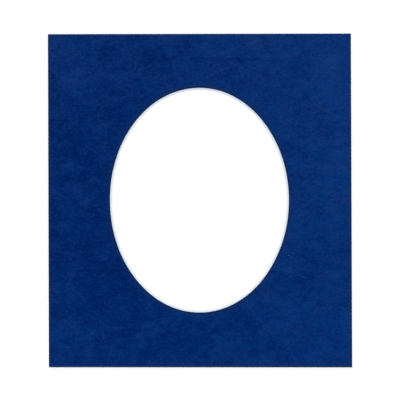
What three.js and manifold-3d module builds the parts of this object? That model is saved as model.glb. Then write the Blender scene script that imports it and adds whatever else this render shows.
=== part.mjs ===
// An oval picture mount: a flat sheet of white-core board faced with blue suede paper. One slanted
// cut goes through both layers, so the white core shows as a bevel all round the oval window.
//
// The mount lies face up, in millimetres. X runs across the sheet, Y up the picture and Z out of
// its face. The origin is on the table, below the middle of the sheet.

import * as THREE from "three";
import { mergeVertices } from "three/addons/utils/BufferGeometryUtils.js";
import Module from "manifold-3d";

// The sheet, and how far its hand-cut edges stray from a true rectangle
const sheetWidth = 200;
const sheetHeight = 220.3;
const topEdgeFall = 0.15; // the top edge ends this much lower on the right
const bottomEdgeFall = 0.65; // and the bottom edge this much
const rightEdgeLean = 0.2; // the right edge starts this much further in at the top

// The two layers
const coreThickness = 1.4;
const facingThickness = 0.3;

// The oval window, measured at the back of the core, where it is narrowest
const windowWidth = 115.4;
const windowHeight = 145.6;
const windowShiftX = -0.45; // from the middle of the sheet
const windowShiftY = 0.4;
const bevelAngle = 45; // degrees that the cut leans outwards from the upright
const windowSegments = 240; // straight facets round the oval
const cutOvershoot = 1; // how far the cutting solid runs past both faces

const mountThickness = coreThickness + facingThickness;
const bevelSlope = Math.tan(THREE.MathUtils.degToRad(bevelAngle));

// The four corners of the cut sheet, from the lower left, counter-clockwise.
function sheetOutline() {
  const right = sheetWidth / 2;
  const top = sheetHeight / 2;
  return new THREE.Shape([
    new THREE.Vector2(-right, -top + bottomEdgeFall),
    new THREE.Vector2(right, -top),
    new THREE.Vector2(right - rightEdgeLean, top - topEdgeFall),
    new THREE.Vector2(-right, top),
  ]);
}

// The solid that a slanted blade takes out: an oval plug that widens at the bevel's slope from
// below the back of the sheet to above its face. Above that it is waste, clear of the sheet.
function windowPlug() {
  const slopeDepth = mountThickness + 2 * cutOvershoot;
  const inset = cutOvershoot * bevelSlope;
  const oval = new THREE.Shape().absellipse(
    windowShiftX,
    windowShiftY,
    windowWidth / 2 - inset,
    windowHeight / 2 - inset,
    0,
    2 * Math.PI,
    false,
  );
  return new THREE.ExtrudeGeometry(oval, {
    depth: cutOvershoot,
    bevelEnabled: true,
    bevelThickness: slopeDepth,
    bevelSize: slopeDepth * bevelSlope,
    bevelSegments: 1,
    curveSegments: windowSegments / 2, // an oval gets two facets for each of these
  }).translate(0, 0, mountThickness + cutOvershoot);
}

const manifold = await Module();
manifold.setup();

function toSolid(geometry) {
  geometry.deleteAttribute("normal");
  geometry.deleteAttribute("uv");
  const merged = mergeVertices(geometry);
  return new manifold.Manifold(
    new manifold.Mesh({
      numProp: 3,
      vertProperties: merged.attributes.position.array,
      triVerts: new Uint32Array(merged.index.array),
    }),
  );
}

function toGeometry(solid) {
  const { vertProperties, triVerts } = solid.getMesh();
  const geometry = new THREE.BufferGeometry();
  geometry.setAttribute("position", new THREE.BufferAttribute(vertProperties, 3));
  geometry.setIndex(new THREE.BufferAttribute(triVerts, 1));
  geometry.computeVertexNormals();
  return geometry;
}

// One layer of the sheet, cut by the plug. Its underside lies at the given height in the mount.
function makeLayer(name, thickness, height, material) {
  const sheet = new THREE.ExtrudeGeometry(sheetOutline(), {
    depth: thickness,
    bevelEnabled: false,
  });
  const plug = windowPlug().translate(0, 0, -height);
  const layer = new THREE.Mesh(toGeometry(toSolid(sheet).subtract(toSolid(plug))), material);
  layer.name = name;
  layer.position.z = height;
  return layer;
}

const whiteCore = new THREE.MeshStandardMaterial({
  color: "#eef2f5",
  roughness: 0.85,
  metalness: 0,
  flatShading: true,
});
const blueSuede = new THREE.MeshStandardMaterial({
  color: "#072a67",
  roughness: 0.95,
  metalness: 0,
  flatShading: true,
});

const mount = new THREE.Group();
mount.name = "oval_picture_mount";
mount.add(makeLayer("core_board", coreThickness, 0, whiteCore));
mount.add(makeLayer("suede_facing", facingThickness, coreThickness, blueSuede));

export default mount;
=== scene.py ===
# %% [markdown]
# # A suede picture mount with an oval window
#
# A picture mount is the flat card that keeps a picture away from the glass of its frame. This one is
# white-core board faced with blue flocked paper that feels like suede. A slanted blade has cut an
# oval window through both layers, so the white core shows as a narrow bevel round the window.
#
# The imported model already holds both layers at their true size, as plain solids. This notebook keeps
# those sizes and adds what the solids lack: edges that the blade rolled over, a nap that splays about
# a tenth of a millimetre past the outer cut and has been brushed both ways, plies of paper pulp in the
# board, and a few stray fibres of flock.

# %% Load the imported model
import math

import bpy
import numpy as np
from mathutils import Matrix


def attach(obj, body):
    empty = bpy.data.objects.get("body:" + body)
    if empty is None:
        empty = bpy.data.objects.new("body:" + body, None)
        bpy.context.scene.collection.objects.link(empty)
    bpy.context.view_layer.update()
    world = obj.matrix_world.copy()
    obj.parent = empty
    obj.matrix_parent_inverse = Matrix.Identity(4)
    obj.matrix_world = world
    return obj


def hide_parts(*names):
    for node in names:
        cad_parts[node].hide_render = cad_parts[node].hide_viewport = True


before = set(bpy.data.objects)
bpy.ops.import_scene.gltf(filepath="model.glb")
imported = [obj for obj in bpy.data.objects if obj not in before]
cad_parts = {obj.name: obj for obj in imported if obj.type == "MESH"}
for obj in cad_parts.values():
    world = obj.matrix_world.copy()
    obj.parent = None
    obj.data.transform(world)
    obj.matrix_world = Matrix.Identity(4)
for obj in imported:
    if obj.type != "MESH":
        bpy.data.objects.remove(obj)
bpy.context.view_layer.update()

MM = 0.001

# %% [markdown]
# ## Reading the cut off the solids
#
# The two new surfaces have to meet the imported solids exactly, so nothing about their size is typed
# here. Each solid is two flat levels, and on each level there are only two kinds of point: the four
# corners of the sheet, far from the middle, and the ring of points round the window. Sorting the
# points by their reach from the middle tells the two kinds apart. The ring's lowest and highest
# values then give the window's middle and its two half axes, at the back and at the top of a layer.

# %% Measure the sheet's corners and the window at each level
ON_LEVEL = 0.001  # millimetres within which a point counts as lying on a level
FAR_SHARE = 0.75  # share of the farthest reach beyond which a point is a corner


def node_points(node):
    """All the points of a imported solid, in millimetres, as an array of rows (x, y, z)."""
    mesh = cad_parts[node].data
    points = np.empty(len(mesh.vertices) * 3, np.float32)
    mesh.vertices.foreach_get("co", points)
    return points.reshape(-1, 3).astype(float) / MM


def measure_level(points, height):
    """The sheet's corners, anticlockwise from the lower left, and the window's middle and half axes."""
    level = points[np.abs(points[:, 2] - height) < ON_LEVEL, :2]
    reach = np.hypot(level[:, 0], level[:, 1])
    far = reach > FAR_SHARE * reach.max()
    corners = [
        level[far & (level[:, 0] * x > 0) & (level[:, 1] * y > 0)].mean(axis=0)
        for x, y in ((-1, -1), (1, -1), (1, 1), (-1, 1))
    ]
    low, high = level[~far].min(axis=0), level[~far].max(axis=0)
    return np.array(corners), (low + high) / 2, (high - low) / 2


core_points = node_points("core_board")
facing_points = node_points("suede_facing")
back_height = core_points[:, 2].min()
seam_height = core_points[:, 2].max()
face_height = facing_points[:, 2].max()

sheet_corners, window_middle, window_axes = measure_level(core_points, back_height)
face_axes = measure_level(facing_points, face_height)[2]
bevel_slope = (face_axes[0] - window_axes[0]) / (face_height - back_height)
sheet_half = np.abs(sheet_corners).max(axis=0)

print("sheet corners in mm:", np.round(sheet_corners, 2).tolist())
print("window at the back:", np.round(2 * window_axes, 2), "mm, middle", np.round(window_middle, 2))
print("bevel leans", round(math.degrees(math.atan(bevel_slope)), 1), "degrees from the upright")

# %% [markdown]
# ## One grid for both layers
#
# Both layers are rings: an outline that is almost a rectangle, with an oval hole. A ring can be cut
# from a plane with a Boolean, but that leaves long thin triangles that shade badly and can't hold
# relief. Instead a ring is worked out as a surface with two parameters, like a squashed doughnut.
# The first, the turn, runs once round the mount. The second, the section, runs once round the slice
# that a saw would show at that turn: up the outer edge, across the face, down the bevel, and back
# along the underside.
#
# The turn walks along the four sides, so that the corners are real points of the grid. The steps are
# eased with a sine, which crowds them near the corners, where the paper is a little rounded. Each
# place on the outline looks along a straight line at the middle of the window, and where that line
# crosses the oval lies its partner.

# %% Walk round the outline and find each place's partner on the window
SIDE_STEPS = 184  # places along each side
CORNER_CROWDING = 0.9  # 0 spreads them evenly, and at 1 they would meet in the corners
CORNER_RADIUS = 0.35  # millimetres

step = np.arange(SIDE_STEPS) / SIDE_STEPS
eased = 2 * (step - CORNER_CROWDING * np.sin(2 * np.pi * step) / (2 * np.pi)) - 1
ones = np.ones(SIDE_STEPS)
side_x = np.concatenate([eased, ones, -eased, -ones])
side_y = np.concatenate([-ones, eased, ones, -eased])


def outline(inset):
    """Points of the sheet's outline, moved inwards by an inset in millimetres.

    The place on a true rectangle is clamped to a smaller one, and the leftover is given the length of
    the corner radius, which rounds the corners. Then the four true corners, each weighed by how near
    the place is to it, stretch the rectangle into the slightly crooked sheet.
    """
    half = sheet_half - inset
    place = np.stack([side_x * half[0], side_y * half[1]], axis=-1)
    inner = np.clip(place, -(half - CORNER_RADIUS), half - CORNER_RADIUS)
    leftover = place - inner
    length = np.linalg.norm(leftover, axis=-1, keepdims=True)
    place = (inner + leftover * CORNER_RADIUS / length) / sheet_half
    east, north = (1 + place[:, 0]) / 2, (1 + place[:, 1]) / 2
    weights = np.stack([(1 - east) * (1 - north), east * (1 - north), east * north, (1 - east) * north])
    return weights.T @ sheet_corners


edge = outline(0.0)
bearing = np.arctan2(edge[:, 1] - window_middle[1], edge[:, 0] - window_middle[0])

# The blade was steered round by hand, so the oval strays by a few hundredths of a millimetre. Each
# number of waves round the oval has its size in millimetres and its phase.
STEERING = {3: (0.035, 0.6), 5: (0.03, 2.1), 8: (0.025, 4.0), 13: (0.015, 1.2)}
wander = sum(size * np.sin(waves * bearing + phase) for waves, (size, phase) in STEERING.items())


def window(growth):
    """Points of the oval, each seen from the window's middle on its partner's bearing b.

    Their reach from the middle is AB / sqrt((B cos b)^2 + (A sin b)^2) plus the blade's wander. A and
    B are the half axes at the back of the board, both grown by the same number of millimetres.
    """
    a, b = window_axes + growth
    reach = a * b / np.hypot(b * np.cos(bearing), a * np.sin(bearing)) + wander
    return window_middle + reach[:, None] * np.stack([np.cos(bearing), np.sin(bearing)], axis=-1)


gaps = np.linalg.norm(np.diff(edge, axis=0), axis=1)
print(len(edge), "places round the mount, the closest", round(float(gaps.min()), 3), "mm apart")

# %% [markdown]
# ## The section of a layer
#
# A blade doesn't leave a razor-sharp arris on paper: it drags the top fibres over. So the section has
# a small arc where the outer edge meets the face, and another where the face meets the bevel. The
# nap also splays over the outer edge, so the flocked layer leans out a little towards its top. Rows
# are crowded next to both arcs, because that is where the shading turns, and spread out over the
# face. Each row of the section is four numbers: its share of the way from the window to the outline,
# how far the oval is grown there, how far the outline is inset, and its height.

# %% Lay out the rows of a section
WALL_ROWS = 5
OUTER_ARC_ROWS = 6
INNER_ARC_ROWS = 5
RIM_ROWS = (0.1, 0.25, 0.5, 0.9, 1.5, 2.4)  # millimetres from an arc to each row beside it
UNDERSIDE_ROWS = (0.35, 0.7)  # shares of the way from the window to the outline


def layer_rows(bottom, top, roll, splay, face_rows):
    """The rows (share, growth, inset, height) of a layer whose cut arrises are rolled to a radius.

    Up the outer edge the outline is let out by splay * sin(90 degrees * the share of the way up).
    """
    lean = math.atan(bevel_slope)
    growth = {height: (height - back_height) * bevel_slope for height in (bottom, top)}
    rows = []
    for part in np.linspace(0, 1, WALL_ROWS):
        let_out = splay * math.sin(math.pi / 2 * part)
        rows.append((1, 0, -let_out, bottom + part * (top - roll - bottom)))
    for angle in np.linspace(0, math.pi / 2, OUTER_ARC_ROWS)[1:]:
        rows.append((1, 0, roll * (1 - math.cos(angle)) - splay, top - roll * (1 - math.sin(angle))))
    rows += [(1, 0, roll - splay + rim, top) for rim in RIM_ROWS]
    deepest = roll - splay + RIM_ROWS[-1]
    for share in np.linspace(1, 0, face_rows + 2)[1:-1]:
        rows.append((share, growth[top] + deepest, deepest, top))
    rows += [(0, growth[top] + roll + rim, 0, top) for rim in reversed(RIM_ROWS)]
    arc_middle = growth[top] + roll * math.tan((math.pi / 2 - lean) / 2)
    for angle in np.linspace(math.pi / 2, math.pi - lean, INNER_ARC_ROWS):
        rows.append((0, arc_middle + roll * math.cos(angle), 0, top - roll * (1 - math.sin(angle))))
    start_growth, start_height = rows[-1][1], rows[-1][3]
    for part in np.linspace(0, 1, WALL_ROWS)[1:]:
        rows.append((0, start_growth + part * (growth[bottom] - start_growth), 0,
                     start_height + part * (bottom - start_height)))
    rows += [(share, growth[bottom], 0, bottom) for share in UNDERSIDE_ROWS]
    return np.array(rows)


NAP_SPLAY = 0.13  # millimetres
suede_rows = layer_rows(seam_height, face_height, roll=0.13, splay=NAP_SPLAY, face_rows=44)
board_rows = layer_rows(back_height, seam_height, roll=0.02, splay=0, face_rows=6)
print("suede section:", len(suede_rows), "rows, board section:", len(board_rows), "rows")

# %% [markdown]
# ## From rows to a mesh
#
# The whole surface is one weighted sum: share times the outline plus the rest times the window, for
# every turn and every row at once. The lower left corner of this mount has had a knock, so both
# layers are pressed a little thinner there. Pressing is a factor on the height, the same for every
# layer, which keeps the layers in touch.
#
# The grid closes on itself in both directions, so there is no seam to sew: the last column of faces
# simply joins the first. Walking anticlockwise and then up the outer edge makes the faces look out.

# %% Work out a closed ring and make it an object
KNOCK_REACH = 2.8  # millimetres in from the corner
KNOCK_DEPTH = 0.16  # share of the height that is pressed away at the corner
RIDGE_RISE = 0.05  # share of the height by which the paper swells behind the knock
RIDGE_PLACE = 1.1  # the ridge's way from the corner and its width, as shares of the reach
RIDGE_WIDTH = 0.18
SHARP_ANGLE = 40  # degrees between two faces beyond which their edge shades as sharp


def pressed(points):
    """The points with the knocked corner pressed down.

    With d the way in from the corner along the diagonal, as a share of the knock's reach, the height
    is multiplied by 1 - depth * smooth(1 - d) + rise * exp(-((d - place) / width)^2). Here smooth(t)
    is t^2 (3 - 2t), and rise, place and width are the ridge's.
    """
    corner = sheet_corners[0]
    diagonal = (points[..., 0] - corner[0] + points[..., 1] - corner[1]) / math.sqrt(2)
    along = diagonal / KNOCK_REACH
    inside = np.clip(1 - along, 0, 1)
    smooth = inside * inside * (3 - 2 * inside)
    ridge = np.exp(-(((along - RIDGE_PLACE) / RIDGE_WIDTH) ** 2))
    factor = 1 - KNOCK_DEPTH * smooth + RIDGE_RISE * ridge
    return np.concatenate([points[..., :2], points[..., 2:] * factor[..., None]], axis=-1)


def ring_points(rows):
    """The surface: share * outline(inset) + (1 - share) * window(growth), at the row's height."""
    planes = [
        share * outline(inset) + (1 - share) * window(growth)
        for share, growth, inset, height in rows
    ]
    flat = np.stack(planes, axis=1)
    heights = np.broadcast_to(rows[:, 3], flat.shape[:2])[..., None]
    return pressed(np.concatenate([flat, heights], axis=-1))


def grid_object(name, points):
    """An object whose faces join each point of a grid that wraps both ways to its next neighbours."""
    across, along = points.shape[:2]
    index = np.arange(across * along).reshape(across, along)
    next_turn = np.roll(index, -1, axis=0)
    quads = np.stack(
        [index, next_turn, np.roll(next_turn, -1, axis=1), np.roll(index, -1, axis=1)], axis=-1
    )
    mesh = bpy.data.meshes.new(name)
    mesh.from_pydata(points.reshape(-1, 3) * MM, [], quads.reshape(-1, 4))
    mesh.shade_smooth()
    mesh.set_sharp_from_angle(angle=math.radians(SHARP_ANGLE))
    made = bpy.data.objects.new(name, mesh)
    bpy.context.scene.collection.objects.link(made)
    return made


suede_points = ring_points(suede_rows)
suede = grid_object("suede_face", suede_points)
board = grid_object("white_core", ring_points(board_rows))
for layer in (suede, board):
    print(layer.name, len(layer.data.polygons), "faces")

# %% [markdown]
# ## The lie of the nap
#
# Flock is a lawn of tiny fibres. Wherever a sleeve or a thumb has brushed it, the fibres lean another
# way and the blue looks lighter or deeper, though the dye is the same. These broad marks belong to
# this one mount, so they are listed one by one, each as a soft oval patch with its own strength. They
# are written into the mesh as a number at each point, which follows the surface and costs nothing to
# read.

# %% Write the nap's lie onto the suede
# The lie paints the nap's sheen into its colour: lighter where the fibres lie over, deeper where they
# stand.
NAP_SHEEN_DRIFT = 0.0019  # lighter per millimetre towards the right
NAP_SHEEN_MARKS = (
    # middle x, y, half width, half height in mm, and how much lighter (or, below zero, deeper)
    (92, 86, 22, 34, 0.19),
    (91, 14, 16, 24, 0.16),
    (62, -16, 8, 13, 0.13),
    (24, 102, 18, 9, 0.23),
    (-28, 108, 13, 7, 0.20),
    (-93, 105, 20, 10, 0.36),
    (-82, 78, 16, 13, 0.27),
    (-88, 24, 9, 7, 0.17),
    (-80, 2, 11, 9, 0.13),
    (-95, -59, 12, 9, 0.25),
    (-90, -94, 18, 17, 0.25),
    (-72, 30, 12, 28, -0.10),
    (-71, -9, 9, 9, -0.20),
    (-60, -58, 24, 26, -0.17),
    (-42, -76, 9, 7, -0.17),
    (-33, 91, 20, 12, -0.09),
    (-54, 59, 9, 10, -0.13),
    (80, -50, 26, 16, -0.13),
    (66, 62, 9, 22, -0.08),
    (32, -80, 13, 10, -0.26),
    (-8, -90, 18, 8, -0.23),
    (0, 110, 88, 3, 0.15),
)


def painted_nap_sheen(x, y):
    """How far the nap leans to light: drift * x + the sum of strength * exp(-r^2) over the marks.

    r is the distance from a mark's middle, counted in its half width and half height.
    """
    lie = NAP_SHEEN_DRIFT * x
    for middle_x, middle_y, half_width, half_height, strength in NAP_SHEEN_MARKS:
        across = (x - middle_x) / half_width
        along = (y - middle_y) / half_height
        lie += strength * np.exp(-(across**2) - along**2)
    return lie


def write_number(piece, name, values):
    """Stores one number at each point of a piece's mesh, for its material to read."""
    stored = piece.data.attributes.new(name, "FLOAT", "POINT")
    stored.data.foreach_set("value", values.astype(np.float32).ravel())


# The painted sheen of the nap, one number at each point.
lie = painted_nap_sheen(suede_points[..., 0], suede_points[..., 1])
write_number(suede, "painted_nap_sheen", lie)
print("nap lie from", round(float(lie.min()), 2), "to", round(float(lie.max()), 2))

# %% [markdown]
# ## How far each point is from a cut
#
# Hands wear the nap only near a cut, and the darker line lies right at it, so a second number at each
# point gives the distance from the nearest cut edge. It could be worked out in the material too, but
# the corners and the oval are at hand here as formulas. The ends of the sheet are worn otherwise than
# its sides: the top less, and the bottom, which the mount stands on, more. Counting the millimetres
# there as longer or shorter than they are gives just that.

# %% Write the distance from the cuts onto the suede
TOP_CARE = 1.6  # what a millimetre counts for below the top edge
BOTTOM_CARE = 0.8  # and above the bottom edge
ARRIS_DEPTH = 0.08  # millimetres under the face where the cut itself begins


def distance_from_cut(points, heights):
    """Millimetres from the nearest cut edge, and below zero down the cut faces themselves.

    On the face it is the smallest of the ways to the sheet's sides, those to its ends times their
    care, and the way to the oval, which is the reach beyond it along the bearing from the window's
    middle. The heights are those from before the corner was pressed, so that the knock isn't taken
    for a cut.
    """
    x, y = points[..., 0], points[..., 1]
    to_end = np.minimum((sheet_half[1] - y) * TOP_CARE, (sheet_half[1] + y) * BOTTOM_CARE)
    to_side = np.minimum(sheet_half[0] - np.abs(x), to_end)
    way = np.arctan2(y - window_middle[1], x - window_middle[0])
    a, b = face_axes
    oval = a * b / np.hypot(b * np.cos(way), a * np.sin(way))
    to_oval = np.hypot(x - window_middle[0], y - window_middle[1]) - oval
    below = face_height - ARRIS_DEPTH - heights
    return np.where(below > 0, -below, np.clip(np.minimum(to_side, to_oval), 0, None))


from_edge = distance_from_cut(suede_points, suede_rows[:, 3])
write_number(suede, "from_edge", from_edge)
print("the farthest point counts as", round(float(from_edge.max()), 1), "mm from a cut")

# %% [markdown]
# ## Fibres as tubes
#
# Flock sheds, and a blade parts it. Hair particles could make the stray fibres, but particles don't
# export, so each fibre is a real tube along a shallow curve. All fibres are worked out together: an
# array with one axis for the fibres, one for the stations along them and one for the sides of the
# tube. The random numbers start from a fixed seed, so every run draws the same fibres.

# %% Work out tapered tubes
FIBRE_LIFT = 0.3  # how far a fibre's middle is raised, as a share of its thickness
FIBRE_CURL = 0.9  # the strongest bend, as a share of its length
FIBRE_TAPER = 1.8  # at 0 a fibre is a cylinder, and at 2 it ends in points

chance = np.random.default_rng(seed=7)


def fibre_points(fibres, stations, sides):
    """Stations s from -1/2 to 1/2 along each fibre, each with a ring of sides.

    The line is middle + length * s * ahead + bend * (s^2 - 1/12) * sideways, where 1/12 is the mean
    of s^2, and the tube's radius is half the thickness times sqrt(1 - (taper * s)^2).
    """
    x, y, z, length, thick, degrees, climb = fibres.T
    s = np.linspace(-0.5, 0.5, stations)
    heading = np.radians(degrees)
    rise = np.radians(climb)
    level = np.cos(rise)
    ahead = np.stack([np.cos(heading) * level, np.sin(heading) * level, np.sin(rise)], axis=-1)
    sideways = np.stack([-np.sin(heading), np.cos(heading), np.zeros_like(x)], axis=-1)
    upward = np.cross(ahead, sideways)
    bend = length * chance.uniform(-FIBRE_CURL, FIBRE_CURL, len(x))
    middle = np.stack([x, y, z + FIBRE_LIFT * thick], axis=-1)
    line = middle[:, None] + ahead[:, None] * (length[:, None] * s)[..., None]
    line += sideways[:, None] * (bend[:, None] * (s**2 - 1 / 12))[..., None]
    radius = thick[:, None] / 2 * np.sqrt(1 - (FIBRE_TAPER * s) ** 2)
    around = np.arange(sides)[:, None] * 2 * np.pi / sides
    ring = sideways[:, None, None] * np.cos(around) + upward[:, None, None] * np.sin(around)
    return line[:, :, None] + ring * radius[..., None, None]


tip_share = math.sqrt(1 - (FIBRE_TAPER / 2) ** 2)
print("at its tips a fibre is", round(tip_share, 2), "times as thick as in its middle")

# %% Join the tubes into one mesh
LOOSE_TUBE = {"stations": 7, "sides": 5}
FRINGE_TUBE = {"stations": 3, "sides": 3}


def fibres_object(name, fibres, stations, sides):
    """One mesh of closed tubes: rings joined by quads, and a point at each end to close it."""
    tubes = fibre_points(fibres, stations, sides)
    count = len(tubes)
    tips = tubes[:, [0, -1]].mean(axis=2)
    per_fibre = stations * sides + 2
    points = np.concatenate([tubes.reshape(count, -1, 3), tips], axis=1)
    ring = np.arange(stations * sides).reshape(stations, sides)
    after = np.roll(ring, -1, axis=1)
    quads = np.stack([ring[:-1], after[:-1], after[1:], ring[1:]], axis=-1).reshape(-1, 4)
    start = np.stack([np.full(sides, per_fibre - 2), after[0], ring[0]], axis=-1)
    end = np.stack([np.full(sides, per_fibre - 1), ring[-1], after[-1]], axis=-1)
    first = per_fibre * np.arange(count)[:, None, None]
    faces = [*(quads + first).reshape(-1, 4)]
    faces += [*(np.concatenate([start, end]) + first).reshape(-1, 3)]
    mesh = bpy.data.meshes.new(name)
    mesh.from_pydata(points.reshape(-1, 3) * MM, [], faces)
    mesh.shade_smooth()
    made = bpy.data.objects.new(name, mesh)
    bpy.context.scene.collection.objects.link(made)
    return made


for use, tube in (("loose fibre", LOOSE_TUBE), ("fringe fibre", FRINGE_TUBE)):
    print("a", use, "has", tube["stations"] * tube["sides"] + 2, "points")

# %% [markdown]
# ## Loose fibres
#
# A few shed fibres lie on the face and catch the light. A dozen of them show as pale specks, the
# largest at the right of the window, so those have their own places. Finer ones are scattered at
# random over the whole face, but not over the window.

# %% Lay loose fibres on the face
PLACED_FIBRES = (
    # x, y, length and thickness in mm, heading in degrees
    (58.4, -36.3, 1.30, 0.16, 20),
    (31.0, -66.9, 0.90, 0.10, -35),
    (63.6, 101.0, 0.90, 0.10, 60),
    (-42.7, -88.8, 0.80, 0.10, 5),
    (-37.4, -96.1, 0.80, 0.10, -60),
    (52.4, -42.2, 0.80, 0.09, 75),
    (52.5, 45.6, 0.80, 0.10, 10),
    (-56.7, 37.0, 0.80, 0.09, -20),
    (-95.0, -67.2, 0.90, 0.09, 40),
    (36.3, 92.2, 0.80, 0.09, -10),
    (85.9, -5.0, 0.80, 0.10, 30),
    (46.4, 52.8, 0.80, 0.09, -45),
)
SCATTERED = 70
SPOTS_PER_FIBRE = 4  # drawn for each scattered fibre, because those over the window are dropped
CUT_MARGIN = 1.5  # millimetres that scattered fibres keep away from the cuts
LOOSE_LENGTH = (0.4, 0.9)  # millimetres from the shortest to the longest, and the same for thickness
LOOSE_THICKNESS = (0.035, 0.055)


def loose_fibres():
    """The placed fibres and some at random, all level on the face and none over the window."""
    spot = chance.uniform(-1, 1, (SCATTERED * SPOTS_PER_FIBRE, 2)) * (sheet_half - CUT_MARGIN)
    outside = np.hypot(*((spot - window_middle) / (face_axes + CUT_MARGIN)).T) > 1
    spot = spot[outside][:SCATTERED]
    lengths = chance.uniform(*LOOSE_LENGTH, len(spot))
    thick = chance.uniform(*LOOSE_THICKNESS, len(spot))
    heading = chance.uniform(-90, 90, len(spot))
    flat = np.concatenate([PLACED_FIBRES, np.column_stack([spot, lengths, thick, heading])])
    level = np.full(len(flat), face_height)
    return np.column_stack([flat[:, :2], level, flat[:, 2:], np.zeros(len(flat))])


loose = fibres_object("loose_fibres", loose_fibres(), **LOOSE_TUBE)
print(SCATTERED + len(PLACED_FIBRES), "loose fibres,", len(loose.data.polygons), "faces")

# %% [markdown]
# ## A fringe along the cuts
#
# Along the cuts, fibres that the blade parted stand out as a very short fringe, which makes the edge
# look soft. They root at random along both rims, many more on the outer one, and point out of the
# paper with a wide spread. They are so short and thin that a tube of three sides is enough.

# %% Grow the fringe
OUTER_FRINGE = 9.0  # fibres to the millimetre
INNER_FRINGE = 2.0
FRINGE_INSET = 0.02  # millimetres from the rim in to the line on which the fibres stand
FRINGE_DROP = 0.04  # millimetres from the face down to the highest of them
FRINGE_DEPTH = 0.2  # and from the highest down to the lowest
FRINGE_REACH = 0.2  # how far ahead of that line a fibre's middle lies, as a share of its length
FRINGE_LENGTH = (0.20, 0.40)  # millimetres
FRINGE_THICKNESS = (0.024, 0.040)
FRINGE_SPREAD = 30  # degrees
FRINGE_CLIMB = (-5, 35)  # degrees above the level


def rim_line(points, per_mm):
    """Evenly spread random places along a closed line, and the direction to its right at each."""
    legs = np.roll(points, -1, axis=0) - points
    lengths = np.linalg.norm(legs, axis=1)
    walked = np.concatenate([[0], np.cumsum(lengths)])
    spots = chance.uniform(0, walked[-1], int(walked[-1] * per_mm))
    leg = np.searchsorted(walked, spots, side="right") - 1
    share = ((spots - walked[leg]) / lengths[leg])[:, None]
    place = points[leg] + share * legs[leg]
    right = np.degrees(np.arctan2(-legs[leg, 0], legs[leg, 1]))
    return place, right


def fringe_fibres():
    """Fibres rooted just under the arris of both cuts, fanned out over the edge and upwards."""
    outer_rim = outline(FRINGE_INSET - NAP_SPLAY)
    inner_rim = window(face_axes[0] - window_axes[0] + FRINGE_INSET)
    outer_place, outer_right = rim_line(outer_rim, OUTER_FRINGE)
    inner_place, inner_right = rim_line(inner_rim, INNER_FRINGE)
    place = np.concatenate([outer_place, inner_place])
    outward = np.concatenate([outer_right, inner_right + 180])
    count = len(place)
    height = face_height - FRINGE_DROP - chance.uniform(0, FRINGE_DEPTH, count)
    length = chance.uniform(*FRINGE_LENGTH, count)
    thick = chance.uniform(*FRINGE_THICKNESS, count)
    heading = outward + chance.normal(0, FRINGE_SPREAD, count)
    ahead = np.stack([np.cos(np.radians(heading)), np.sin(np.radians(heading))], axis=-1)
    place = place + ahead * (FRINGE_REACH * length)[:, None]
    climb = chance.uniform(*FRINGE_CLIMB, count)
    return np.column_stack([place, height, length, thick, heading, climb])


fringe = fibres_object("fringe", fringe_fibres(), **FRINGE_TUBE)
print(len(fringe.data.polygons), "faces in the fringe")

# %% [markdown]
# ## Building materials from nodes
#
# A material is a small program made of nodes. A few helpers keep the wiring short: one adds a node
# and fills its inputs, either with a number or with another node's output, and the others use it for
# sums and products, for blends of two colours and for smooth ramps. Colours are written as a screen
# shows them, from 0 to 255, and turned into the linear light that the nodes work in.

# %% Helpers for nodes and colours
# A Mix node has sockets of one name for numbers, vectors and colours, so the colours go by number.
MIX_FIRST = 6
MIX_SECOND = 7
MIX_RESULT = 2

FLOAT = "NodeSocketFloat"
VECTOR = "NodeSocketVector"


def add(tree, kind, inputs=None, **settings):
    """A node of some kind. inputs maps a socket's name or number to a value or to another output."""
    made = tree.nodes.new(kind)
    for setting, value in settings.items():
        setattr(made, setting, value)
    for socket, value in (inputs or {}).items():
        if isinstance(value, bpy.types.NodeSocket):
            tree.links.new(value, made.inputs[socket])
        else:
            made.inputs[socket].default_value = value
    return made


def calculate(tree, operation, *values):
    """The output of a Math node that works on the given values or outputs."""
    return add(tree, "ShaderNodeMath", dict(enumerate(values)), operation=operation).outputs[0]


def calculate_vector(tree, operation, *values):
    """The same for vectors."""
    return add(tree, "ShaderNodeVectorMath", dict(enumerate(values)), operation=operation).outputs[0]


def blend_colours(tree, factor, first, second):
    """The first colour at factor 0, turning into the second at factor 1."""
    inputs = {"Factor": factor, MIX_FIRST: first, MIX_SECOND: second}
    return add(tree, "ShaderNodeMix", inputs, data_type="RGBA").outputs[MIX_RESULT]


def ramp(tree, value, low, high, to_low=0.0, to_high=1.0):
    """A value between low and high, carried smoothly over to between to_low and to_high."""
    inputs = {"Value": value, "From Min": low, "From Max": high, "To Min": to_low, "To Max": to_high}
    return add(tree, "ShaderNodeMapRange", inputs, interpolation_type="SMOOTHSTEP").outputs[0]


def screen(red, green, blue):
    """A colour as a screen shows it, 0 to 255, as opaque linear light by the sRGB curve."""
    shares = np.array([red, green, blue]) / 255
    linear = np.where(shares <= 0.04045, shares / 12.92, ((shares + 0.055) / 1.055) ** 2.4)
    return (*linear.tolist(), 1.0)


def new_group(name, inputs, output):
    """An empty node group with named inputs, each (name, socket type, default), and one output."""
    group = bpy.data.node_groups.new(name, "ShaderNodeTree")
    for label, kind, default in inputs:
        group.interface.new_socket(label, in_out="INPUT", socket_type=kind).default_value = default
    group.interface.new_socket(output, in_out="OUTPUT", socket_type=FLOAT)
    return group, group.nodes.new("NodeGroupInput").outputs, group.nodes.new("NodeGroupOutput").inputs


print("a screen's (7, 42, 103) is", np.round(screen(7, 42, 103), 4).tolist(), "in linear light")

# %% [markdown]
# ## Shared effects: mottle and soft marks
#
# Suede, pulp and lining paper all vary in soft blotches, only at other sizes and strengths. That is
# one effect, so it is one node group, the mottle: noise whose blotches have a size in millimetres and
# may be stretched along the sheet, and whose value swings evenly above and below zero. The second
# group, the soft mark, is one oval smudge at a place, for marks too small for the mesh to hold.

# %% Make the mottle group
NOISE_ROUGHNESS = 0.9  # how strong the finer layers of the noise are


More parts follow.
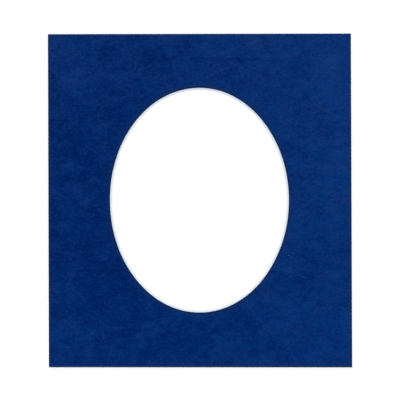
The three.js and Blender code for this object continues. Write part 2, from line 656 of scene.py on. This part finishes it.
def make_mottle_group():
    """Value = strength * 2 * (noise(place / (size * stretch)) - 1/2)."""
    group, given, result = new_group(
        "Mottle",
        [("Place", VECTOR, (0, 0, 0)), ("Size", FLOAT, 5.0), ("Stretch", VECTOR, (1, 1, 1)),
         ("Detail", FLOAT, 2.0), ("Strength", FLOAT, 1.0)],
        "Value",
    )
    extent = add(group, "ShaderNodeVectorMath", {0: given["Stretch"], "Scale": given["Size"]},
                 operation="SCALE").outputs[0]
    place = calculate_vector(group, "DIVIDE", given["Place"], extent)
    noise = add(group, "ShaderNodeTexNoise",
                {"Vector": place, "Scale": 1.0, "Detail": given["Detail"],
                 "Roughness": NOISE_ROUGHNESS})
    swing = calculate(group, "MULTIPLY_ADD", noise.outputs["Fac"], 2.0, -1.0)
    group.links.new(calculate(group, "MULTIPLY", swing, given["Strength"]), result["Value"])
    return group


mottle_group = make_mottle_group()


def mottle(tree, place, size, strength, stretch=(1, 1, 1), detail=1.0):
    """The Mottle group in a material, with a size in millimetres and a strength of its own."""
    inputs = {"Place": place, "Size": size, "Stretch": stretch, "Detail": detail, "Strength": strength}
    return add(tree, "ShaderNodeGroup", inputs, node_tree=mottle_group).outputs[0]


print("mottle group:", len(mottle_group.nodes), "nodes")

# %% Make the soft mark group
def make_soft_mark_group():
    """Value = strength * smooth(1 - r), with r the distance from the middle counted in half sizes."""
    group, given, result = new_group(
        "Soft Mark",
        [("Place", VECTOR, (0, 0, 0)), ("Middle", VECTOR, (0, 0, 0)), ("Half Size", VECTOR, (1, 1, 1)),
         ("Turn", FLOAT, 0.0), ("Strength", FLOAT, 1.0)],
        "Value",
    )
    away = calculate_vector(group, "SUBTRACT", given["Place"], given["Middle"])
    turned = add(group, "ShaderNodeVectorRotate", {"Vector": away, "Angle": given["Turn"]},
                 rotation_type="Z_AXIS").outputs[0]
    scaled = calculate_vector(group, "DIVIDE", turned, given["Half Size"])
    reach = add(group, "ShaderNodeVectorMath", {0: scaled}, operation="LENGTH").outputs["Value"]
    smudge = ramp(group, reach, 0.0, 1.0, 1.0, 0.0)
    group.links.new(calculate(group, "MULTIPLY", smudge, given["Strength"]), result["Value"])
    return group


soft_mark_group = make_soft_mark_group()


def soft_mark(tree, place, middle, half_size, turn, strength):
    """The Soft Mark group in a material, turned by an angle in degrees."""
    inputs = {"Place": place, "Middle": middle, "Half Size": half_size,
              "Turn": -math.radians(turn), "Strength": strength}
    return add(tree, "ShaderNodeGroup", inputs, node_tree=soft_mark_group).outputs[0]


print("soft mark group:", len(soft_mark_group.nodes), "nodes")

# %% [markdown]
# ## The start of every material
#
# Noise needs a place to be worked out at. Every piece of this mount lies at the origin, so Object
# coordinates are places on the mount itself. They come in metres, and one Mapping node turns them into
# millimetres, in which all sizes of this notebook are written.

# %% Helpers that start a material
def start_material(name):
    """A new material: its tree, its shader, and the place on the piece in millimetres."""
    material = bpy.data.materials.new(name)
    material.use_nodes = True
    tree = material.node_tree
    on_object = add(tree, "ShaderNodeTexCoord").outputs["Object"]
    place = add(tree, "ShaderNodeMapping", {"Vector": on_object, "Scale": (1 / MM,) * 3}).outputs[0]
    return material, tree, tree.nodes["Principled BSDF"], place


def total(tree, values):
    """The sum of several outputs, added one after the other."""
    result = values[0]
    for value in values[1:]:
        result = calculate(tree, "ADD", result, value)
    return result


def stored_number(tree, name):
    """The number that was written at each point of the mesh under this name."""
    return add(tree, "ShaderNodeAttribute", attribute_name=name).outputs["Fac"]


print("a material sees the mount", np.round(2 * sheet_half, 1).tolist(), "mm large")

# %% [markdown]
# ## Blue suede paper
#
# Flock doesn't shine. Light goes down between the fibres and comes back only from their tips, so the
# shader is nearly all diffuse, with a little sheen that brightens it when it is seen at a slant. Its
# colour isn't one blue but a path from a deep blue, where the fibres point at the viewer, to a lighter
# one, where they lie over, and that lighter blue is partly their sheen, painted into the colour. The
# place on that path is the tone. It adds up the lie that was written into the mesh, which is painted
# sheen, drifting clouds, short strokes brushed along the sheet, tufts, and the painted shade in the
# pits and painted glints on the flecks of single fibres. The dye varies too, from a blue with a trace
# of red to a cleaner one towards the lower right.
#
# A few marks are too fine for the mesh and too local for noise, so each is a soft mark: a long dark
# stroke above the window, and at the knocked corner painted light and shade, pale highlights on the
# ridges where the paper buckled and dark shade in the creases beside them.

# %% Mix the tone of the nap
# The light blues are partly the sheen of fibres that lie over, painted into the colour.
NAP_DEEP_WARM = screen(0, 29, 86)
NAP_DEEP_CLEAN = screen(0, 30, 90)
NAP_SHEEN_WARM = screen(25, 53, 113)
NAP_SHEEN_CLEAN = screen(10, 54, 118)
NAP_TONE = 0.43  # where on the path from deep to light the plain nap lies
NAP_DYE = 0.7  # and where from warm to clean
DYE_DRIFT = (0.0006, -0.0015, 0)  # cleaner per millimetre
DYE_PATCHES = {"size": 9.0, "strength": 0.75}
CLOUDS = {"size": 13.0, "strength": 0.36, "stretch": (1.2, 1, 1)}
MARK_DEPTH = 2.0  # half size of a mark in height, which is far more than the suede's
SMALL_MARKS_AND_KNOCK_LIGHT = (
    # middle x, y, half length, half width in mm, turn in degrees, and how much lighter
    (26.5, 93.1, 30.0, 2.2, 0, -0.36),
    # The rest paint light and shade at the knocked corner: pale highlights on the buckled ridges, dark
    # shade in the creases.
    (-98.1, -107.2, 2.4, 0.75, -53, 1.10),
    (-99.0, -108.2, 1.8, 0.55, -57, 0.75),
    (-98.6, -107.8, 2.0, 0.40, -55, -0.75),
    (-99.4, -109.0, 1.4, 1.10, 0, -0.90),
    (-97.4, -105.9, 1.8, 0.70, -50, -0.55),
    (-96.4, -105.2, 1.1, 0.90, 20, 0.85),
)


def nap_colour(tree, place, strokes, tufts, pit_shade_and_glints):
    """The tone leads from the deep blues to the light ones, the dye from the warm to the clean ones.

    Tone = NAP_TONE + nap lie + clouds + strokes + tufts + grain + small marks, and
    dye = NAP_DYE + drift * place + patches.
    """
    clouds = mottle(tree, place, **CLOUDS)
    marks = []
    for x, y, half_length, half_width, turn, strength in SMALL_MARKS_AND_KNOCK_LIGHT:
        half_size = (half_length, half_width, MARK_DEPTH)
        marks.append(soft_mark(tree, place, (x, y, face_height), half_size, turn, strength))
    tone = total(tree, [stored_number(tree, "painted_nap_sheen"), clouds, strokes, tufts, pit_shade_and_glints, *marks])
    tone = calculate(tree, "ADD", tone, NAP_TONE)
    drift = add(tree, "ShaderNodeVectorMath", {0: place, 1: DYE_DRIFT}, operation="DOT_PRODUCT")
    dye = total(tree, [drift.outputs["Value"], mottle(tree, place, **DYE_PATCHES)])
    dye = calculate(tree, "ADD", dye, NAP_DYE)
    warm = blend_colours(tree, tone, NAP_DEEP_WARM, NAP_SHEEN_WARM)
    clean = blend_colours(tree, tone, NAP_DEEP_CLEAN, NAP_SHEEN_CLEAN)
    return blend_colours(tree, dye, warm, clean)


print("the nap has", len(NAP_SHEEN_MARKS), "broad marks and", len(SMALL_MARKS_AND_KNOCK_LIGHT), "small ones")

# %% [markdown]
# ## The rim and the cut
#
# Along every cut edge hands have rubbed the tips, so a rim nearly four millimetres wide turns greyer.
# In its last half millimetre the blue turns darker still, and the cut itself is the same dark blue.
# Both follow the distance from the edge that was written into the mesh.

# %% Grey the worn rim
RUBBED = screen(26, 45, 76)
RUB_WIDTH = 3.6  # millimetres
RUB_SHARE = 0.74  # how much of the nap's own colour the rim hides at the very edge
# A darker blue over the last half millimetre before each cut and down the cut faces.
CUT_DARK_LINE = screen(4, 22, 62)
DARK_LINE_START = 0.6  # millimetres from the cut at which the darker line begins
DARK_LINE_FULL = 0.1  # and at which it is fully dark


def rubbed_rim_and_dark_line(tree, colour, from_edge):
    """Rubbed share = RUB_SHARE * (1 - distance / width)^2, then the darker line's share over the last
    bit.
    """
    rim = calculate(tree, "SUBTRACT", 1.0, calculate(tree, "DIVIDE", from_edge, RUB_WIDTH))
    rim = calculate(tree, "MAXIMUM", rim, 0.0)
    rubbed = calculate(tree, "MULTIPLY", calculate(tree, "MULTIPLY", rim, rim), RUB_SHARE)
    colour = blend_colours(tree, rubbed, colour, RUBBED)
    # The darker line along the cuts and down them.
    dark_line = ramp(tree, from_edge, DARK_LINE_START, DARK_LINE_FULL)
    return blend_colours(tree, dark_line, colour, CUT_DARK_LINE)


print("the rim is", RUB_WIDTH, "mm wide, and", round(RUB_WIDTH / TOP_CARE, 2), "mm at the top edge")

# %% [markdown]
# ## The whole suede
#
# Pits and flecks both come from one fine mottle: where it is lowest the light falls in between two
# fibres, and where it is highest a single tip stands up and catches it. The same strokes and tufts
# that colour the nap also raise it a little, as a bump, so that light and colour agree.

# %% Dress the suede face
STROKES = {"size": 3.6, "strength": 0.40, "stretch": (1.8, 1, 1)}
TUFTS = {"size": 1.2, "strength": 0.52, "stretch": (1.4, 1, 1)}
SINGLE_FIBRES = {"size": 1.1, "strength": 1.4, "stretch": (1.3, 1, 1), "detail": 2.0}
# Painted shade where light falls between fibres, and painted glints where single tips catch it.
PIT_SHADE = {"low": -0.25, "high": -0.65, "to_low": 0.0, "to_high": -0.9}
TIP_GLINTS = {"low": 0.28, "high": 0.6, "to_low": 0.0, "to_high": 1.5}
HAIRS = {"size": 0.25, "strength": 1.0, "detail": 2.0}
SHEEN = screen(12, 88, 190)


def suede_material():
    """The nap's colour, the worn rim, and a bump of strokes, tufts and hairs."""
    material, tree, shader, place = start_material("blue_suede_paper")
    strokes = mottle(tree, place, **STROKES)
    tufts = mottle(tree, place, **TUFTS)
    single = mottle(tree, place, **SINGLE_FIBRES)
    # The painted shade of the pits and the painted glints of the tips.
    pit_shade_and_glints = total(tree, [ramp(tree, single, **PIT_SHADE), ramp(tree, single, **TIP_GLINTS)])
    colour = nap_colour(tree, place, strokes, tufts, pit_shade_and_glints)
    colour = rubbed_rim_and_dark_line(tree, colour, stored_number(tree, "from_edge"))
    tree.links.new(colour, shader.inputs["Base Color"])
    relief = total(tree, [mottle(tree, place, **HAIRS), tufts, strokes])
    bump = add(tree, "ShaderNodeBump", {"Strength": 0.6, "Distance": 0.05 * MM, "Height": relief})
    tree.links.new(bump.outputs[0], shader.inputs["Normal"])
    shader.inputs["Roughness"].default_value = 0.95
    shader.inputs["Specular IOR Level"].default_value = 0.0
    shader.inputs["Sheen Weight"].default_value = 0.2
    shader.inputs["Sheen Roughness"].default_value = 0.6
    shader.inputs["Sheen Tint"].default_value = SHEEN
    return material


suede.data.materials.append(suede_material())
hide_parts("suede_facing")
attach(suede, "root")
print("suede material:", len(suede.data.materials[0].node_tree.nodes), "nodes")

# %% [markdown]
# ## Loose flock
#
# The loose fibres and the fringe are the same flock. In the nap each fibre is shaded by the others,
# but one that lies on top or stands out over the cut has light all round it, so it looks paler.

# %% Dress the loose fibres and the fringe
LOOSE_DULL = screen(40, 92, 172)
LOOSE_BRIGHT = screen(100, 156, 222)
FRINGE_DULL = screen(44, 118, 210)
FRINGE_BRIGHT = screen(112, 182, 246)
FLOCK_TINTS = {"size": 3.0, "strength": 1.2}
HALFWAY = 0.5  # lifts a mottle, which swings about zero, to halfway between two colours


def flock_material(name, dull, bright):
    """A pale blue between two others, varied a little from fibre to fibre by a coarse mottle."""
    material, tree, shader, place = start_material(name)
    tint = calculate(tree, "ADD", mottle(tree, place, **FLOCK_TINTS), HALFWAY)
    colour = blend_colours(tree, tint, dull, bright)
    tree.links.new(colour, shader.inputs["Base Color"])
    shader.inputs["Roughness"].default_value = 0.8
    shader.inputs["Specular IOR Level"].default_value = 0.2
    return material


loose.data.materials.append(flock_material("loose_flock", LOOSE_DULL, LOOSE_BRIGHT))
fringe.data.materials.append(flock_material("fringe_flock", FRINGE_DULL, FRINGE_BRIGHT))
for flock in (loose, fringe):
    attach(flock, "root")
print("flock rides on the mount:", loose.name, fringe.name)

# %% [markdown]
# ## White core board
#
# The core is a stack of plies of bleached pulp. On the bevel the plies show as very faint lines along
# the cut, which a noise squeezed in height gives. The back is lined with a thin sheet of paper, a
# little warmer than the core, so the bottom of the bevel ends in a fine warmer line. The blade came
# down through the flock first, and dragged some of its blue dust over the top of the white.

# %% Dress the board
CORE_WHITE = screen(236, 243, 249)
CORE_SHADE = screen(222, 231, 240)
CORE_TONE = 0.4  # where between the two the plain pulp lies
PLIES = {"size": 3.0, "strength": 1.2, "stretch": (1, 1, 0.05)}
PULP = {"size": 0.5, "strength": 1.0, "detail": 2.0}
FLOCK_DUST = screen(152, 190, 240)
DUST_DEPTH = 0.7  # millimetres below the seam where the dust begins
DUST_TOP = 0.1  # and above the seam, where it would be densest
DUST_STREAKS = {"size": 1.2, "strength": 1.2, "stretch": (1, 1, 4)}
LINING = screen(240, 239, 232)
LINING_THICKNESS = 0.15
LINING_BLEND = 0.02  # millimetres over which the lining's colour gives way to the core's


def board_material():
    """Plies and pulp mixed into two cool whites, blue dust near the top and the lining at the back."""
    material, tree, shader, place = start_material("white_core_board")
    plies = mottle(tree, place, **PLIES)
    pulp = mottle(tree, place, **PULP)
    shade = calculate(tree, "ADD", total(tree, [plies, pulp]), CORE_TONE)
    colour = blend_colours(tree, shade, CORE_WHITE, CORE_SHADE)
    height = add(tree, "ShaderNodeSeparateXYZ", {0: place}).outputs["Z"]
    near_top = ramp(tree, height, seam_height - DUST_DEPTH, seam_height + DUST_TOP)
    streaks = calculate(tree, "ADD", mottle(tree, place, **DUST_STREAKS), HALFWAY)
    dust = calculate(tree, "MULTIPLY", near_top, streaks)
    colour = blend_colours(tree, dust, colour, FLOCK_DUST)
    lined = ramp(tree, height, LINING_THICKNESS + LINING_BLEND, LINING_THICKNESS)
    colour = blend_colours(tree, lined, colour, LINING)
    tree.links.new(colour, shader.inputs["Base Color"])
    relief = total(tree, [pulp, plies])
    bump = add(tree, "ShaderNodeBump", {"Strength": 0.5, "Distance": 0.03 * MM, "Height": relief})
    tree.links.new(bump.outputs[0], shader.inputs["Normal"])
    shader.inputs["Roughness"].default_value = 0.85
    shader.inputs["Specular IOR Level"].default_value = 0.2
    return material


board.data.materials.append(board_material())
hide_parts("core_board")
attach(board, "root")
print("board material:", len(board.data.materials[0].node_tree.nodes), "nodes")

# %% [markdown]
# ## Even light
#
# The mount was seen in even light that came a little from the top of the picture: the lower bevel is
# brighter than the upper one. A white world gives the even part. It lights the mount with the
# strength of the fill, but wherever the camera sees it, it shows as plain white.

# %% Set a white world
FILL = 0.68  # share of the light that comes evenly from all round


def seen_directly(tree):
    """1 for rays from the camera, a reflection or a refraction, and 0 for rays that light things."""
    rays = add(tree, "ShaderNodeLightPath").outputs
    straight_or_reflected = calculate(tree, "MAXIMUM", rays["Is Camera Ray"], rays["Is Glossy Ray"])
    return calculate(tree, "MAXIMUM", straight_or_reflected, rays["Is Transmission Ray"])


def set_world():
    """A white world at the fill's strength, which shows as plain white."""
    world = bpy.data.worlds.new("studio")
    world.use_nodes = True
    tree = world.node_tree
    strength = calculate(tree, "MULTIPLY_ADD", seen_directly(tree), 1 - FILL, FILL)
    tree.nodes["Background"].inputs["Color"].default_value = (1, 1, 1, 1)
    tree.links.new(strength, tree.nodes["Background"].inputs["Strength"])
    bpy.context.scene.world = world


set_world()
print("the world fills with", FILL, "of white")

# %% [markdown]
# ## Floor
#
# The mount lies on plain white. Under this light a white floor would show as light grey, so it adds a
# faint glow that only the camera and reflections see, which keeps it white but lets the mount's
# shadow show.

# %% Lay the floor
FLOOR_REACH = 4.0  # metres from its middle to its sides
FLOOR_DROP = 0.02  # millimetres under the back of the mount
FLOOR_WHITE = (0.87, 0.87, 0.87, 1)
FLOOR_GLOW = 0.132  # share of white that the glow adds


def make_floor():
    """A square just under the back of the mount."""
    mesh = bpy.data.meshes.new("floor")
    corners = [
        (x * FLOOR_REACH, y * FLOOR_REACH, -FLOOR_DROP * MM)
        for x, y in ((-1, -1), (1, -1), (1, 1), (-1, 1))
    ]
    mesh.from_pydata(corners, [], [(0, 1, 2, 3)])
    floor = bpy.data.objects.new("floor", mesh)
    bpy.context.scene.collection.objects.link(floor)
    material = bpy.data.materials.new("floor_white")
    material.use_nodes = True
    tree = material.node_tree
    shader = tree.nodes["Principled BSDF"]
    shader.inputs["Base Color"].default_value = FLOOR_WHITE
    shader.inputs["Roughness"].default_value = 1.0
    shader.inputs["Specular IOR Level"].default_value = 0.0
    shader.inputs["Emission Color"].default_value = (1, 1, 1, 1)
    glow = calculate(tree, "MULTIPLY", seen_directly(tree), FLOOR_GLOW)
    tree.links.new(glow, shader.inputs["Emission Strength"])
    mesh.materials.append(material)


make_floor()
print("the floor is", 2 * FLOOR_REACH, "m wide")

# %% [markdown]
# ## A soft sun
#
# The rest of the light comes from a large soft sun, tilted towards the top of the picture. With the
# world it lights a level white surface to just about white, so every colour shows as it is written.

# %% Hang the sun
KEY = 0.34  # share of the light that comes from the sun
KEY_TILT = 16  # degrees from the upright
KEY_SPREAD = 22  # degrees across, which softens the shadow


def make_key():
    """A sun whose light on a level surface is KEY times white: strength = KEY * pi / cos(tilt)."""
    lamp = bpy.data.lights.new("key", "SUN")
    lamp.energy = KEY * math.pi / math.cos(math.radians(KEY_TILT))
    lamp.angle = math.radians(KEY_SPREAD)
    key = bpy.data.objects.new("key", lamp)
    key.rotation_euler = (math.radians(-KEY_TILT), 0, 0)
    bpy.context.scene.collection.objects.link(key)


make_key()
bpy.context.scene.view_settings.view_transform = "Standard"
print("light on a level white surface:", FILL + KEY)

# %% [markdown]
# ## Camera
#
# The photograph is a flat scan: every part of the sheet is seen from straight above. A long lens far
# away comes closest to that. Its height follows from the lens and from how many millimetres of the
# sheet the frame takes in. The scanned sheet wasn't quite square to the scanner, so the camera turns
# by a fraction of a degree.

# %% Place the camera above the sheet
FRAME_WIDTH = 264.12  # millimetres across the picture, measured on the face
LENS = 200  # millimetres, and so is the sensor
SENSOR = 36
VIEW_MIDDLE = (-0.036, 0.481)  # millimetres from the middle of the sheet
VIEW_TURN = -0.17  # degrees
CLIP_END = 20  # metres

camera_data = bpy.data.cameras.new("camera")
camera_data.lens = LENS
camera_data.sensor_width = SENSOR
camera_data.clip_end = CLIP_END
camera = bpy.data.objects.new("camera", camera_data)
camera_height = face_height + FRAME_WIDTH * LENS / SENSOR
camera.location = (VIEW_MIDDLE[0] * MM, VIEW_MIDDLE[1] * MM, camera_height * MM)
camera.rotation_euler = (0, 0, math.radians(VIEW_TURN))
bpy.context.scene.collection.objects.link(camera)
bpy.context.scene.camera = camera
print("camera", round(camera_height), "mm above the floor")
